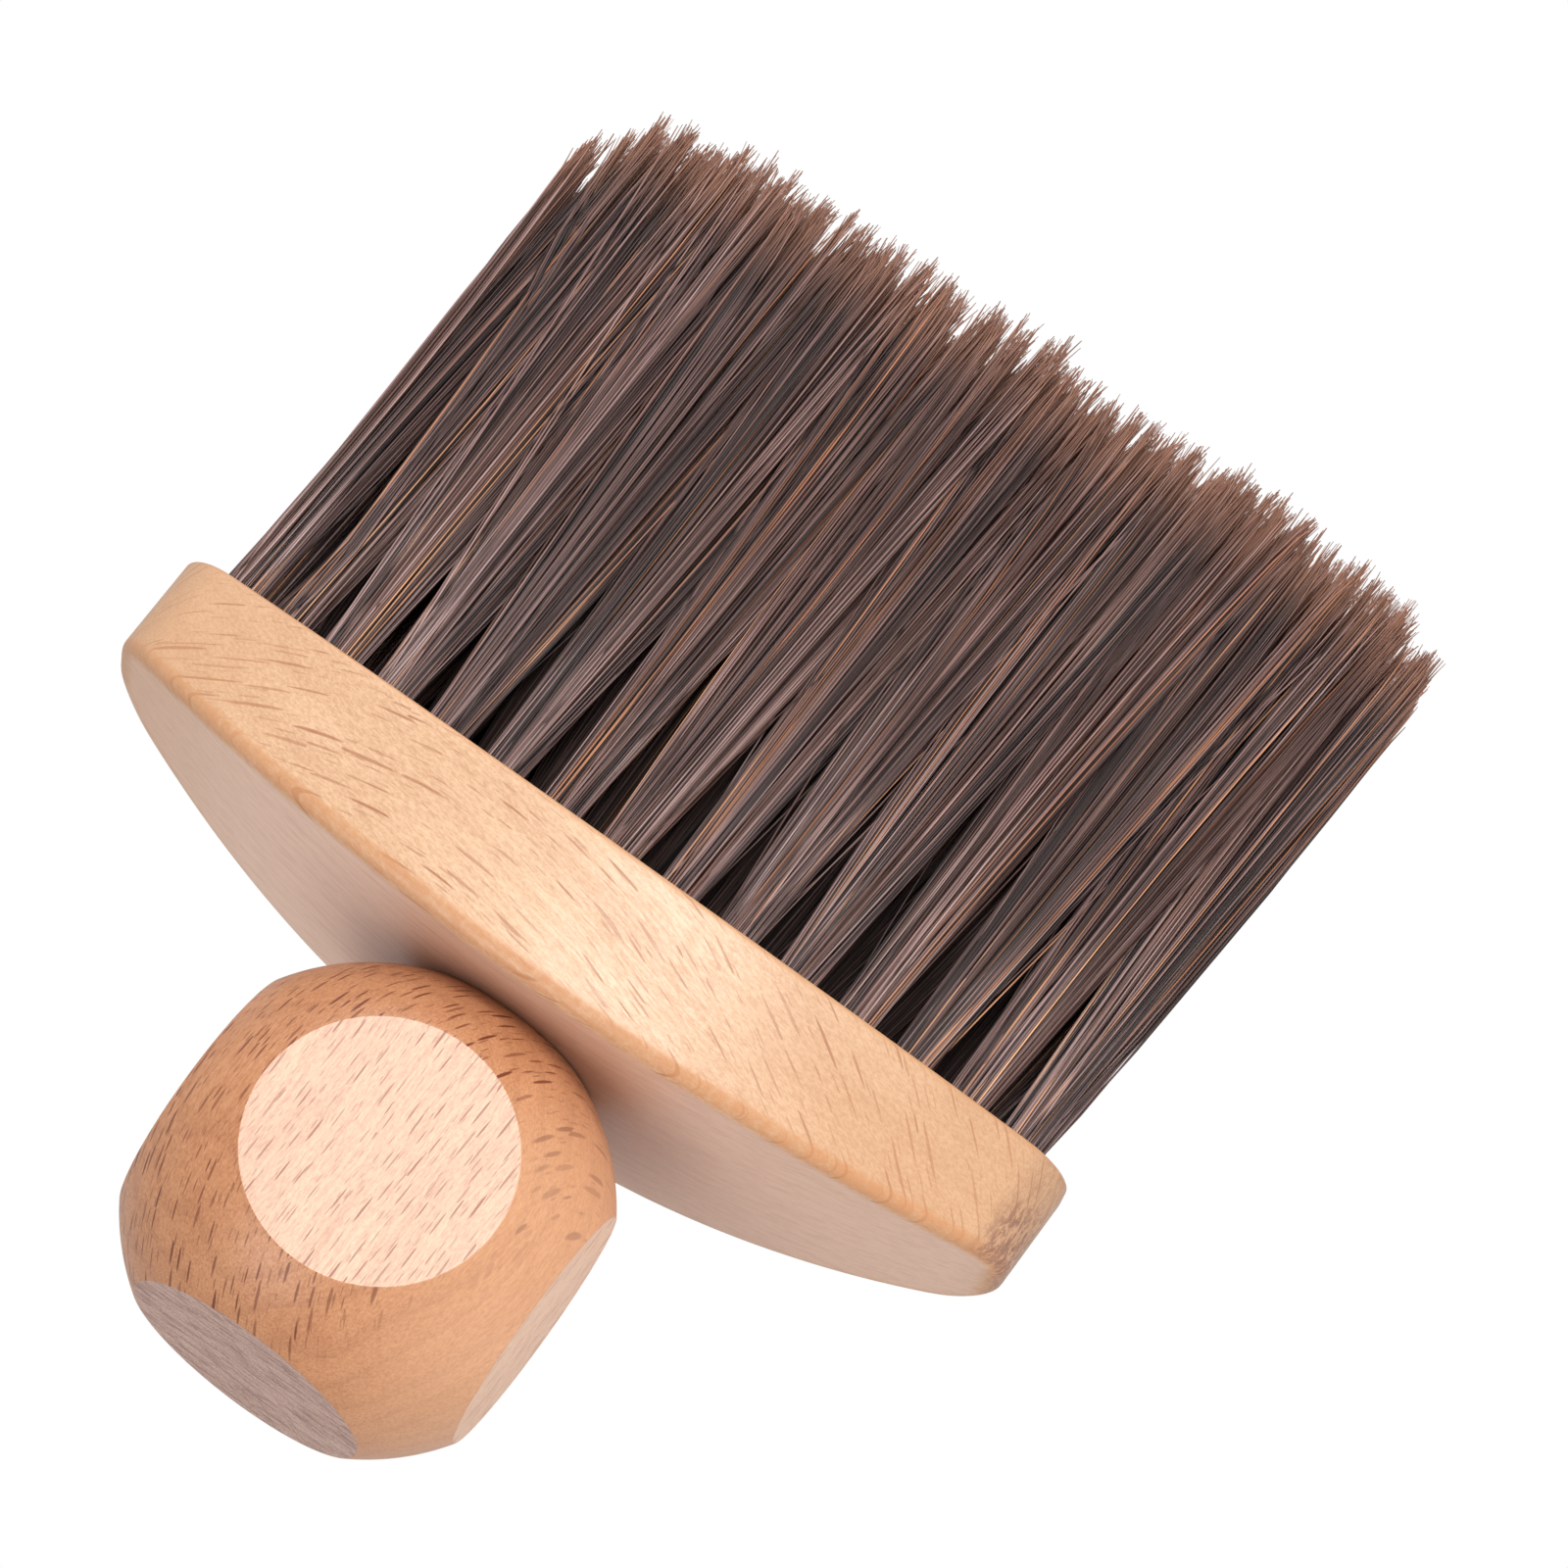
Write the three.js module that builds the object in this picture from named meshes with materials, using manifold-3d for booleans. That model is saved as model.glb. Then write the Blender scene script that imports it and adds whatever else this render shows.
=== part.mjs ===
// Neck duster brush: a beech ball knob, doweled to an arched, lens-shaped beech head that holds
// 57 tufts of filament bristle.
//
// Millimetres. +Z is up, along the bristles. X is the head's long axis and -Y is its front.
// The origin is the centre of the flat on the end of the knob, which the brush stands on.

import * as THREE from "three";
import { mergeVertices } from "three/addons/utils/BufferGeometryUtils.js";
import Module from "manifold-3d";

const wasm = await Module();
wasm.setup();

// ---------------------------------------------------------------- driving dimensions

const GAP = 0.3; // clearance between pieces that are glued or wedged together

// Knob: a ball turned from a square blank, so that six flats of the blank are left on it
const BALL_RADIUS = 25;
const BLANK_HALF_WIDTH = 20.75; // ball centre to each side flat and to the end flat
const BLANK_TOP = 22.1; // ball centre to the flat that meets the head

// Head: lens-shaped in plan, arched towards the knob, hollowed a little on the bristle side
const HEAD_HALF_LENGTH = 55.7;
const HEAD_HALF_DEPTH = 22.4;
const HEAD_END_HALF_DEPTH = 7.3; // half width of the blunt ends
const HEAD_THICKNESS = 17.2; // at the middle
const KNOB_SIDE_RISE = 9; // how far the knob side curves up from the middle to the ends
const BRISTLE_SIDE_RISE = 4.5; // the same on the bristle side
const KNOB_EDGE_RADIUS = 1.8;
const BRISTLE_EDGE_RADIUS = 0.6;
const END_CORNER_RADIUS = 5.2;

// Dowel, glued into a blind hole in each of the two wooden pieces
const DOWEL_RADIUS = 4;
const DOWEL_DEPTH_IN_KNOB = 16;
const DOWEL_DEPTH_IN_HEAD = 8;
const DOWEL_CHAMFER = 0.8;

// Tufts
const TUFT_HOLE_RADIUS = 2.5;
const TUFT_HOLE_DEPTH = 7;
const TUFT_ROOT_RADIUS = 2.05;
const TUFT_HALF_WIDTH = 3.1; // of the opened tuft, along the head
const TUFT_HALF_DEPTH = 3.6; // of the opened tuft, across the head
const TUFT_OPENING_HEIGHT = 14; // how far above the wood a tuft has opened to its full size
const TUFT_TIP_TAPER = 6; // length over which the tips thin out
const TUFT_TIP_SHARE = 0.72; // share of the full size that is left at the tips
const BRISTLE_LENGTH = 72; // out of the wood, the same for all tufts, so the tips follow the arc
const TIP_SPREAD = 0.02; // how much further out the tips stand than the roots, as a share
const TIP_LEAN = 1.6; // how far all the tips lean towards +X

// Rows of tufts. The outer rows run parallel to the head's curved sides.
const OUTER_ROW_INSET = 5;
const OUTER_ROW_HALF_LENGTH = 49;
const OUTER_ROW_COUNT = 15;
const INNER_ROW_INSET = 13.2;
const INNER_ROW_COUNT = 10;
const CENTRE_ROW_X = [-38.5, -17.4, -8.7, 0, 8.7, 17.4, 38.5];

// ---------------------------------------------------------------- materials

const beech = new THREE.MeshStandardMaterial({ color: 0xf0cfab, roughness: 0.5, metalness: 0 });
const dowelBeech = new THREE.MeshStandardMaterial({ color: 0xdcb98f, roughness: 0.7, metalness: 0 });
const bristle = new THREE.MeshStandardMaterial({ color: 0x4d3a36, roughness: 0.55, metalness: 0 });

// ---------------------------------------------------------------- geometry helpers

// Height of a circular arc over its chord's middle, less its height at distance x from there.
function arcDrop(x, halfChord, rise) {
  const radius = arcRadius(halfChord, rise);
  return radius - Math.sqrt(radius * radius - x * x);
}

function arcRadius(halfChord, rise) {
  return (halfChord * halfChord + rise * rise) / (2 * rise);
}

function toSolid(geometry) {
  const bare = geometry.clone();
  bare.deleteAttribute("normal");
  bare.deleteAttribute("uv");
  const merged = mergeVertices(bare, 1e-4);
  return new wasm.Manifold(
    new wasm.Mesh({
      numProp: 3,
      vertProperties: new Float32Array(merged.attributes.position.array),
      triVerts: new Uint32Array(merged.index.array),
    }),
  );
}

function toGeometry(solid) {
  const mesh = solid.getMesh();
  const geometry = new THREE.BufferGeometry();
  geometry.setAttribute("position", new THREE.BufferAttribute(mesh.vertProperties, 3));
  geometry.setIndex(new THREE.BufferAttribute(mesh.triVerts, 1));
  geometry.computeVertexNormals();
  return geometry;
}

// A cylinder along Z, from zLow to zHigh.
function uprightCylinder(radius, zLow, zHigh, sides, x = 0, y = 0) {
  const geometry = new THREE.CylinderGeometry(radius, radius, zHigh - zLow, sides);
  geometry.rotateX(Math.PI / 2);
  geometry.translate(x, y, (zLow + zHigh) / 2);
  return geometry;
}

// Moves every vertex of a geometry by a function that rewrites a THREE.Vector3 in place.
function reshape(geometry, move) {
  const positions = geometry.attributes.position;
  const point = new THREE.Vector3();
  for (let i = 0; i < positions.count; i++) {
    point.fromBufferAttribute(positions, i);
    move(point);
    positions.setXYZ(i, point.x, point.y, point.z);
  }
  geometry.computeVertexNormals();
  return geometry;
}

// ---------------------------------------------------------------- the head's surfaces

const BALL_CENTRE_Z = BLANK_HALF_WIDTH;
const KNOB_TOP_Z = BALL_CENTRE_Z + BLANK_TOP;
const HEAD_BOTTOM_Z = KNOB_TOP_Z + GAP;
const HEAD_TOP_Z = HEAD_BOTTOM_Z + HEAD_THICKNESS;
const SIDE_BULGE = HEAD_HALF_DEPTH - HEAD_END_HALF_DEPTH;
const SIDE_RADIUS = arcRadius(HEAD_HALF_LENGTH, SIDE_BULGE);

function knobSideZ(x) {
  return HEAD_BOTTOM_Z + arcDrop(x, HEAD_HALF_LENGTH, KNOB_SIDE_RISE);
}

function bristleSideZ(x) {
  return HEAD_TOP_Z + arcDrop(x, HEAD_HALF_LENGTH, BRISTLE_SIDE_RISE);
}

// Half of the head's depth at x: the side arc, then a quarter round into the blunt end.
function headHalfDepth(x) {
  const side = HEAD_HALF_DEPTH - arcDrop(x, HEAD_HALF_LENGTH, SIDE_BULGE);
  const past = Math.abs(x) - (HEAD_HALF_LENGTH - END_CORNER_RADIUS);
  if (past <= 0) return side;
  const round = Math.sqrt(Math.max(END_CORNER_RADIUS ** 2 - past ** 2, 0));
  return side - END_CORNER_RADIUS + round;
}

// Stations along the head: even steps on the long arcs, closer ones round each end corner.
function headStations() {
  const arcSteps = 24;
  const cornerSteps = 3;
  const straight = HEAD_HALF_LENGTH - END_CORNER_RADIUS;
  const stations = [];
  for (let i = 0; i <= arcSteps; i++) {
    stations.push(straight * ((2 * i) / arcSteps - 1));
  }
  for (let i = 1; i <= cornerSteps; i++) {
    const x = straight + END_CORNER_RADIUS * Math.sin((Math.PI / 2) * (i / cornerSteps));
    stations.push(x);
    stations.unshift(-x);
  }
  return stations;
}

// Layers through the thickness, as the share that goes with each surface, the height off that
// surface, and how far the outline is drawn in there: this rounds the two long edges.
function headLayers() {
  const layers = [];
  for (const angle of [0, Math.PI / 4, Math.PI / 2]) {
    layers.push({
      side: 0,
      height: KNOB_EDGE_RADIUS * (1 - Math.cos(angle)),
      inset: KNOB_EDGE_RADIUS * (1 - Math.sin(angle)),
    });
  }
  layers.push({ side: 1, height: -BRISTLE_EDGE_RADIUS, inset: 0 });
  layers.push({ side: 1, height: 0, inset: BRISTLE_EDGE_RADIUS });
  return layers;
}

function headBlank() {
  const stations = headStations();
  const layers = headLayers();
  const nx = stations.length - 1;
  const ny = 2;
  const nz = layers.length - 1;
  const box = new THREE.BoxGeometry(nx, ny, nz, nx, ny, nz);
  return reshape(box, (p) => {
    const layer = layers[Math.round(p.z + nz / 2)];
    const x = stations[Math.round(p.x + nx / 2)];
    const across = p.y / (ny / 2);
    const surface = layer.side ? bristleSideZ(x) : knobSideZ(x);
    p.x = x * (1 - layer.inset / HEAD_HALF_LENGTH);
    p.y = across * (headHalfDepth(x) - layer.inset);
    p.z = surface + layer.height;
  });
}

// ---------------------------------------------------------------- tuft places

// Points along one row that runs parallel to the head's side, spaced evenly by angle.
function rowParallelToSide(inset, count, endAngle, side) {
  const centreY = SIDE_RADIUS - HEAD_HALF_DEPTH;
  const radius = SIDE_RADIUS - inset;
  return Array.from({ length: count }, (_, i) => {
    const angle = endAngle * ((2 * i) / (count - 1) - 1);
    return { x: radius * Math.sin(angle), y: side * (radius * Math.cos(angle) - centreY) };
  });
}

function tuftRows() {
  const outerAngle = Math.asin(OUTER_ROW_HALF_LENGTH / (SIDE_RADIUS - OUTER_ROW_INSET));
  const anglePitch = (2 * outerAngle) / (OUTER_ROW_COUNT - 1);
  const innerAngle = (anglePitch * (INNER_ROW_COUNT - 1)) / 2; // half a pitch off the outer row
  return {
    front: rowParallelToSide(OUTER_ROW_INSET, OUTER_ROW_COUNT, outerAngle, -1),
    front_inner: rowParallelToSide(INNER_ROW_INSET, INNER_ROW_COUNT, innerAngle, -1),
    centre: CENTRE_ROW_X.map((x) => ({ x, y: 0 })),
    back_inner: rowParallelToSide(INNER_ROW_INSET, INNER_ROW_COUNT, innerAngle, 1),
    back: rowParallelToSide(OUTER_ROW_INSET, OUTER_ROW_COUNT, outerAngle, 1),
  };
}

// ---------------------------------------------------------------- pieces

function makeKnob() {
  const ball = new THREE.SphereGeometry(BALL_RADIUS, 48, 32);
  ball.rotateX(Math.PI / 2);
  ball.translate(0, 0, BALL_CENTRE_Z);
  const width = 2 * BLANK_HALF_WIDTH;
  const blank = new THREE.BoxGeometry(width, width, KNOB_TOP_Z);
  blank.translate(0, 0, KNOB_TOP_Z / 2);
  const hole = uprightCylinder(DOWEL_RADIUS, KNOB_TOP_Z - DOWEL_DEPTH_IN_KNOB, KNOB_TOP_Z + 1, 24);
  const solid = toSolid(ball).intersect(toSolid(blank)).subtract(toSolid(hole));
  const mesh = new THREE.Mesh(toGeometry(solid), beech);
  mesh.name = "ball_knob";
  return mesh;
}

function makeHead(rows) {
  const dowelHoleTop = HEAD_BOTTOM_Z + DOWEL_DEPTH_IN_HEAD;
  let solid = toSolid(headBlank());
  solid = solid.subtract(
    toSolid(uprightCylinder(DOWEL_RADIUS, HEAD_BOTTOM_Z - 1, dowelHoleTop, 24)),
  );
  for (const { x, y } of Object.values(rows).flat()) {
    const mouth = bristleSideZ(x);
    const hole = uprightCylinder(TUFT_HOLE_RADIUS, mouth - TUFT_HOLE_DEPTH, mouth + 2, 10, x, y);
    solid = solid.subtract(toSolid(hole));
  }
  const mesh = new THREE.Mesh(toGeometry(solid), beech);
  mesh.name = "head_block";
  return mesh;
}

function makeDowel() {
  const radius = DOWEL_RADIUS - GAP;
  const low = KNOB_TOP_Z - DOWEL_DEPTH_IN_KNOB + GAP;
  const high = HEAD_BOTTOM_Z + DOWEL_DEPTH_IN_HEAD - GAP;
  const profile = [
    new THREE.Vector2(0, 0),
    new THREE.Vector2(radius - DOWEL_CHAMFER, 0),
    new THREE.Vector2(radius, DOWEL_CHAMFER),
    new THREE.Vector2(radius, high - low - DOWEL_CHAMFER),
    new THREE.Vector2(radius - DOWEL_CHAMFER, high - low),
    new THREE.Vector2(0, high - low),
  ];
  const geometry = new THREE.LatheGeometry(profile, 20);
  geometry.rotateX(Math.PI / 2);
  const mesh = new THREE.Mesh(geometry, dowelBeech);
  mesh.name = "joining_dowel";
  mesh.position.set(0, 0, low);
  return mesh;
}

// One tuft: round where it is wedged in its hole, opening to an oval above the wood.
function makeTuft(name, { x, y }) {
  const mouth = bristleSideZ(x);
  const low = mouth - TUFT_HOLE_DEPTH + GAP;
  const rise = mouth - low;
  const opened = rise + TUFT_OPENING_HEIGHT;
  const length = rise + BRISTLE_LENGTH;
  const profile = [
    new THREE.Vector2(0, 0),
    new THREE.Vector2(TUFT_ROOT_RADIUS, 0),
    new THREE.Vector2(TUFT_ROOT_RADIUS, rise + 0.5),
    new THREE.Vector2(TUFT_HALF_WIDTH, opened),
    new THREE.Vector2(TUFT_HALF_WIDTH, length - TUFT_TIP_TAPER),
    new THREE.Vector2(TUFT_HALF_WIDTH * TUFT_TIP_SHARE, length),
    new THREE.Vector2(0, length),
  ];
  const geometry = new THREE.LatheGeometry(profile, 8);
  geometry.rotateX(Math.PI / 2);
  const oval = TUFT_HALF_DEPTH / TUFT_HALF_WIDTH - 1;
  reshape(geometry, (p) => {
    const openness = THREE.MathUtils.clamp((p.z - rise) / TUFT_OPENING_HEIGHT, 0, 1);
    const along = THREE.MathUtils.clamp((p.z - rise) / BRISTLE_LENGTH, 0, 1);
    p.y *= 1 + oval * openness;
    p.x += (x * TIP_SPREAD + TIP_LEAN) * along;
    p.y += y * TIP_SPREAD * along;
  });
  const mesh = new THREE.Mesh(geometry, bristle);
  mesh.name = name;
  mesh.position.set(x, y, low);
  return mesh;
}

// ---------------------------------------------------------------- assembly

const rows = tuftRows();
const brush = new THREE.Group();
brush.add(makeKnob(), makeHead(rows), makeDowel());

const tufts = new THREE.Group();
for (const [row, places] of Object.entries(rows)) {
  places.forEach((place, i) => {
    const number = String(i + 1).padStart(2, "0");
    tufts.add(makeTuft(`tuft_${row}_${number}`, place));
  });
}
brush.add(tufts);

export default brush;
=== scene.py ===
"""Looks of the neck duster brush: beech ball knob, arched beech head and 57 tufts of filament.

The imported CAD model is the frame. The knob, the head, the dowel and every tuft get a detailed piece
that stands for their CAD node. Lengths are in metres, and the wood's and filaments' patterns are
worked out in millimetres, as the constants that end in _MM say.
"""

import math

import bmesh
import bpy
import numpy as np
from mathutils import Matrix, Vector


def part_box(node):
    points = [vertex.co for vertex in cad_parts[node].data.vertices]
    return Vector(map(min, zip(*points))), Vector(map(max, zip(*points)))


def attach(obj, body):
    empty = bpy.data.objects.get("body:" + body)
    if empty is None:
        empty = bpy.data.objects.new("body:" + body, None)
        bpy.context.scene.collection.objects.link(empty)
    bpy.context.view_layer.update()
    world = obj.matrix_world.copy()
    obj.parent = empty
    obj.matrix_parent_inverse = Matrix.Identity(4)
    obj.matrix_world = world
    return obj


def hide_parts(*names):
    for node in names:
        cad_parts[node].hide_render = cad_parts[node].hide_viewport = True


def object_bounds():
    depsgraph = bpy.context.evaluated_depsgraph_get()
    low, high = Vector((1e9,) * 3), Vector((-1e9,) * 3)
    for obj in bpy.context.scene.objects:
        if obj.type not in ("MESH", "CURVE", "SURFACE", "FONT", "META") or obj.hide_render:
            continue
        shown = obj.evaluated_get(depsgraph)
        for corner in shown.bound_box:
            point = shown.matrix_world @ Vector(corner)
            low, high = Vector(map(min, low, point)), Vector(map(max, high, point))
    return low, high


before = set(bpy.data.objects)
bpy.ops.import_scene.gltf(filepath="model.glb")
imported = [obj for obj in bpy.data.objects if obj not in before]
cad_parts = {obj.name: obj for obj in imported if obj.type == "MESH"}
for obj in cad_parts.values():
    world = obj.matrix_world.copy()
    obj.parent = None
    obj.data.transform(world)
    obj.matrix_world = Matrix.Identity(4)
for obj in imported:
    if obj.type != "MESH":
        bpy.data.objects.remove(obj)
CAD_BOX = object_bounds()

MM = 0.001
SEED = 20261

# ------------------------------------------------------------------ driving dimensions

HEAD_LOW, HEAD_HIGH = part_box("head_block")
KNOB_LOW, KNOB_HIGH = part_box("ball_knob")
DOWEL_LOW, DOWEL_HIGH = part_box("joining_dowel")

# Head: arcs that meet at the blunt ends
HEAD_HALF_LENGTH = HEAD_HIGH.x
HEAD_HALF_DEPTH = HEAD_HIGH.y
HEAD_BOTTOM_Z = HEAD_LOW.z
HEAD_END_HALF_DEPTH = 7.3 * MM
KNOB_SIDE_RISE = 9 * MM
BRISTLE_SIDE_RISE = 4.5 * MM
HEAD_TOP_Z = HEAD_HIGH.z - BRISTLE_SIDE_RISE
KNOB_EDGE_RADIUS = 1.8 * MM
BRISTLE_EDGE_RADIUS = 0.6 * MM
END_CORNER_RADIUS = 5.2 * MM

# Knob: a ball that keeps six flats of its square blank
BALL_RADIUS = 25 * MM
BLANK_HALF_WIDTH = KNOB_HIGH.x
BALL_CENTRE_Z = KNOB_LOW.z + BLANK_HALF_WIDTH
FLAT_RIM_RADIUS = 0.35 * MM  # rounding of the rim between a flat and the ball
FLAT_RIM_STEPS = 6

# Holes and what sits in them
DOWEL_HOLE_RADIUS = 4 * MM
DOWEL_GAP = 0.3 * MM
TUFT_HOLE_RADIUS = 2.5 * MM
TUFT_HOLE_DEPTH = 7 * MM
TUFT_END_GAP = 0.3 * MM  # between the bottom of a hole and the end of its tuft
CUT_PAST = 3 * MM  # how far a cutter reaches out of the wood

# Filaments. The pairs are ranges, unless they say otherwise.
FILAMENTS_PER_TUFT = 320
LOCKS_PER_TUFT = 16  # a tuft's filaments cling together in locks, with dark gaps between them
FILAMENT_SIDES = 4
FILAMENT_RADIUS = 0.11 * MM
FILAMENT_THICKNESS = (0.7, 1.35)  # each one's own share of that radius
FILAMENT_TAPER = ((0, 0.9, 0.97, 1.0), (1, 0.95, 0.8, 0.4))  # shares of the way up, and of the radius
# Shares of the way up at which a filament has a ring. The first is its root, inside the hole.
FILAMENT_RINGS = (0.0, 0.0, 0.06, 0.16, 0.30, 0.46, 0.64, 0.80, 0.91, 0.965, 1.0)
COPPER_FROM = 0.94  # shade above which a filament is copper
BROWN_UP_TO = 0.93
COPPER_THINNESS = 0.75
LOCK_SHADE_SPREAD = 0.2  # how much the shade of its lock changes a filament's own

# Where a tuft's filaments start and end
ROOT_BUNDLE_RADIUS = 2.15 * MM
BUNDLE_POWER = 0.44  # 0.5 would spread the filaments evenly; less puts more of them at the rim
FAN_HALF_WIDTH = 6.2 * MM  # reach of a tuft's filaments at the tips, along the head
FAN_HALF_DEPTH = 5.0 * MM
FAN_SPREAD = 0.4 * MM  # standard deviations of one filament's tip and of a whole tuft's tips
TUFT_SPREAD = 0.6 * MM
CROSSING_SHARE = (0.02, 0.16)  # share of a tuft's filaments that cross into their neighbours
CROSSING_SPREAD = 2.8 * MM
FRONT_OPENING_POWER = 1.12  # the front row opens late and stays straight, the others open at once
INNER_OPENING_POWER = 1.9

# How the filaments of a lock cling to its leader
LOCK_DEPTH_WEIGHT = 0.7  # of distances across the head, in the choice of a filament's lock
CLING = (0.05, 0.55)  # all the way up
CLING_RISE = 3  # it grows from nothing at the wood, this much faster than the filament's height
TIP_CLING = (0.15, 0.65)  # more of it at the tips
TIP_CLING_POWER = 9
CLING_REACH = 1.4 * MM  # the most that a tip is drawn towards its leader
LEAST_GAP = 0.1 * MM

# Unevenness: standard deviations, unless they say otherwise
LOCK_HEIGHT = (-0.3 * MM, 0.75 * MM)  # mean and standard deviation
TIP_UNEVENNESS = 0.35 * MM
TIP_WEAR = 0.55 * MM  # mean of what is worn off a tip
TUFT_HEIGHT_SPREAD = 0.8 * MM
FAR_FROM_LEADER_SHORTER = 0.25  # share of the distance from its leader that a filament is shorter by
FILAMENT_BOW = 0.25 * MM
LOCK_BOW = 0.3 * MM
STRAY_SHARE = 0.035
STRAY_BOW = (1.3 * MM, 0.5 * MM)  # along the head and across it
TIP_FLICK = 0.4 * MM
TIP_FLICK_POWER = 24

# The two ends of the brush, where the filaments are held in between these limits
EDGE_AT_ROOT = 51.0 * MM  # the outermost filaments' distance from the middle
LEFT_TIP_LIMIT = -50.9 * MM
RIGHT_TIP_LIMIT = 55.2 * MM
FOLD = (1.0, 2.3)  # how much of what is past a limit is taken off a tip's place
LOOSE = (-1.6 * MM, 0.2 * MM)  # how far past a limit a filament may stand; below 0, short of it
EDGE_HOLLOW = 0.9 * MM  # how far the left edge is hollowed halfway up
TIP_SLOPE = 0.03  # the tips' line climbs a little towards +X
LEFT_CORNER_X, LEFT_CORNER_SLOPE = -44.5 * MM, 1.2  # past these the line of the tips falls off
RIGHT_CORNER_X, RIGHT_CORNER_SLOPE = 48 * MM, 0.35

# A narrow parting near the left end, in all the rows but the back one
PARTING_X = -43.9 * MM
PARTING_HALF_WIDTH = 1.5 * MM
PARTING_ROOT = 0.15  # share of the way up at which it has opened
PARTING_TOP = 0.62  # and at which it has closed
PARTING_RELEASE = 5  # above that, how much faster it lets go of the filaments than it closed

# ------------------------------------------------------------------ curves of the head


def arc_radius(half_chord, rise):
    return (half_chord**2 + rise**2) / (2 * rise)


def arc_drop(x, half_chord, rise):
    """Height of an arc over its chord's middle, less its height at distance x from there."""
    radius = arc_radius(half_chord, rise)
    return radius - np.sqrt(radius**2 - x**2)


def knob_side_z(x):
    return HEAD_BOTTOM_Z + arc_drop(x, HEAD_HALF_LENGTH, KNOB_SIDE_RISE)


def bristle_side_z(x):
    return HEAD_TOP_Z + arc_drop(x, HEAD_HALF_LENGTH, BRISTLE_SIDE_RISE)


def head_half_depth(x):
    bulge = HEAD_HALF_DEPTH - HEAD_END_HALF_DEPTH
    side = HEAD_HALF_DEPTH - arc_drop(x, HEAD_HALF_LENGTH, bulge)
    past = np.maximum(np.abs(x) - (HEAD_HALF_LENGTH - END_CORNER_RADIUS), 0)
    corner = END_CORNER_RADIUS - np.sqrt(np.maximum(END_CORNER_RADIUS**2 - past**2, 0))
    return side - corner


# ------------------------------------------------------------------ mesh helpers


def link_mesh(name, mesh, materials, replaced=()):
    """Makes a mesh a piece of the brush: its materials, its body and the CAD nodes it stands for."""
    piece = bpy.data.objects.new(name, mesh)
    bpy.context.scene.collection.objects.link(piece)
    for material in materials:
        mesh.materials.append(material)
    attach(piece, "root")
    if replaced:
        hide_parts(*replaced)
    return piece


def quad_mesh(name, points, quads):
    """A mesh of four-sided faces from two arrays."""
    mesh = bpy.data.meshes.new(name)
    mesh.vertices.add(len(points))
    mesh.vertices.foreach_set("co", np.ascontiguousarray(points, np.float32).ravel())
    mesh.loops.add(4 * len(quads))
    mesh.loops.foreach_set("vertex_index", np.ascontiguousarray(quads, np.int32).ravel())
    mesh.polygons.add(len(quads))
    mesh.polygons.foreach_set("loop_start", np.arange(len(quads), dtype=np.int32) * 4)
    mesh.update(calc_edges=True)
    mesh.validate()
    mesh.shade_smooth()
    return mesh


def sheet_quads(index, flip=False):
    """Quads over a two-dimensional array of vertex numbers."""
    corners = [index[:-1, :-1], index[1:, :-1], index[1:, 1:], index[:-1, 1:]]
    quads = np.stack([c.ravel() for c in corners], axis=1)
    return quads[:, ::-1] if flip else quads


def lattice_shell(nx, ny, nz):
    """The outer quads of a block of nx by ny by nz cells, and the block's vertex numbers."""
    index = np.arange((nx + 1) * (ny + 1) * (nz + 1)).reshape(nx + 1, ny + 1, nz + 1)
    quads = np.concatenate(
        [
            sheet_quads(index[:, :, 0], flip=True),
            sheet_quads(index[:, :, -1]),
            sheet_quads(index[:, 0, :]),
            sheet_quads(index[:, -1, :], flip=True),
            sheet_quads(index[0, :, :], flip=True),
            sheet_quads(index[-1, :, :]),
        ]
    )
    used, compact = np.unique(quads, return_inverse=True)
    return used, compact.reshape(quads.shape), index.shape


def float_attribute(mesh, name, values):
    mesh.attributes.new(name, "FLOAT", "POINT").data.foreach_set("value", np.float32(values))


def vertex_array(mesh):
    points = np.zeros(len(mesh.vertices) * 3, np.float32)
    mesh.vertices.foreach_get("co", points)
    return points.reshape(-1, 3).astype(float)


# ------------------------------------------------------------------ shader helper


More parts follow.
